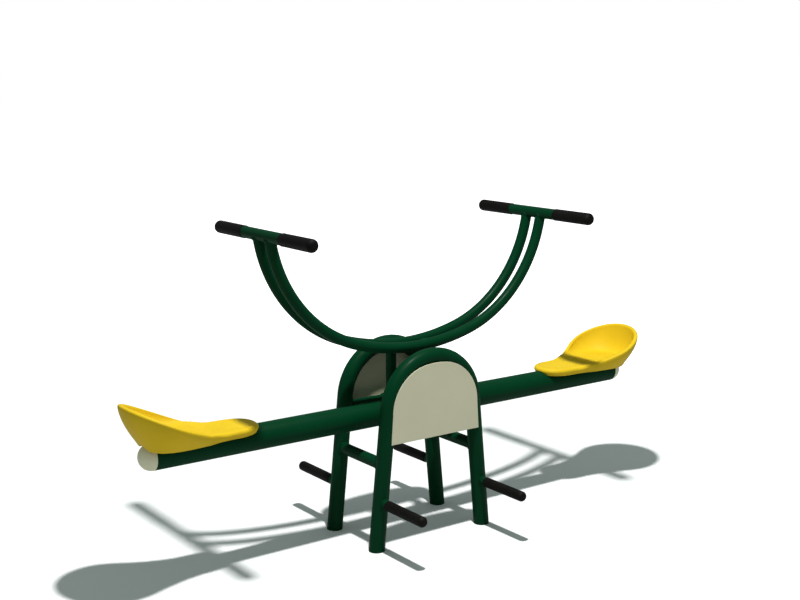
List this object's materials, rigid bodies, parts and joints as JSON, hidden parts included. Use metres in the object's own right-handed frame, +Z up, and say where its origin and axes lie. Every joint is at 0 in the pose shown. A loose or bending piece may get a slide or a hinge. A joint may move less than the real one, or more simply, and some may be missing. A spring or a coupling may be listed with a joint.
{
  "type": "seesaw",
  "caption": "Playground seesaw: a round beam on an arched tube stand, with spoon-shaped seats, U-shaped handlebar arcs with grips, and foot pegs.",
  "frame": {"origin": "on the ground under the middle of the axle", "axes": "+X along the level beam to the right seat, +Y along the axle to the rear hoop, +Z up"},
  "size_m": [2.338, 0.823, 1.2114],
  "materials": {
    "green_paint": "satin powder coat",
    "cream_paint": "satin powder coat",
    "seat_plastic": "moulded, lightly grained",
    "grip_rubber": "matt moulded rubber",
    "cap_plastic": "moulded polyethylene",
    "black_plastic": "moulded",
    "bright_steel": "ground",
    "zinc_steel": "zinc plated"
  },
  "bodies": {
    "stand": {"axle_bosses": "green_paint", "axle_pins": "bright_steel", "axle_spacers": "bright_steel", "bearing_inner_rings": "bright_steel", "foot_nuts": "zinc_steel", "foot_plates": "green_paint", "front_axle_rail": "green_paint", "front_hoop": "green_paint", "front_left_peg_grip": "grip_rubber", "front_left_peg_tube": "green_paint", "front_panel": "cream_paint", "front_panel_studs": "green_paint", "front_right_peg_grip": "grip_rubber", "front_right_peg_tube": "green_paint", "left_crossbar": "green_paint", "pivot_axle": "bright_steel", "rear_axle_rail": "green_paint", "rear_hoop": "green_paint", "rear_left_peg_grip": "grip_rubber", "rear_left_peg_tube": "green_paint", "rear_panel": "cream_paint", "rear_panel_studs": "green_paint", "rear_right_peg_grip": "grip_rubber", "rear_right_peg_tube": "green_paint", "right_crossbar": "green_paint"},
    "rocker": {"bearing_balls": "bright_steel", "bearing_circlips": "bright_steel", "bearing_outer_rings": "bright_steel", "dust_caps": "black_plastic", "front_arc": "green_paint", "front_left_hand_grip": "grip_rubber", "front_right_hand_grip": "grip_rubber", "left_end_cap": "cap_plastic", "left_handle": "green_paint", "left_post": "green_paint", "left_seat": "seat_plastic", "left_seat_plate": "zinc_steel", "left_seat_screws": "zinc_steel", "main_beam": "green_paint", "pivot_sleeve": "green_paint", "post_caps": "green_paint", "rear_arc": "green_paint", "rear_left_hand_grip": "grip_rubber", "rear_right_hand_grip": "grip_rubber", "right_end_cap": "cap_plastic", "right_handle": "green_paint", "right_post": "green_paint", "right_seat": "seat_plastic", "right_seat_plate": "zinc_steel", "right_seat_screws": "zinc_steel"}
  },
  "joints": [
    {"name": "rocking_pivot", "type": "hinge", "parent": "stand", "child": "rocker", "pos_m": [0, 0, 0.476], "axis": [0, 1, 0], "range_deg": [-19.5, 19.5]}
  ]
}
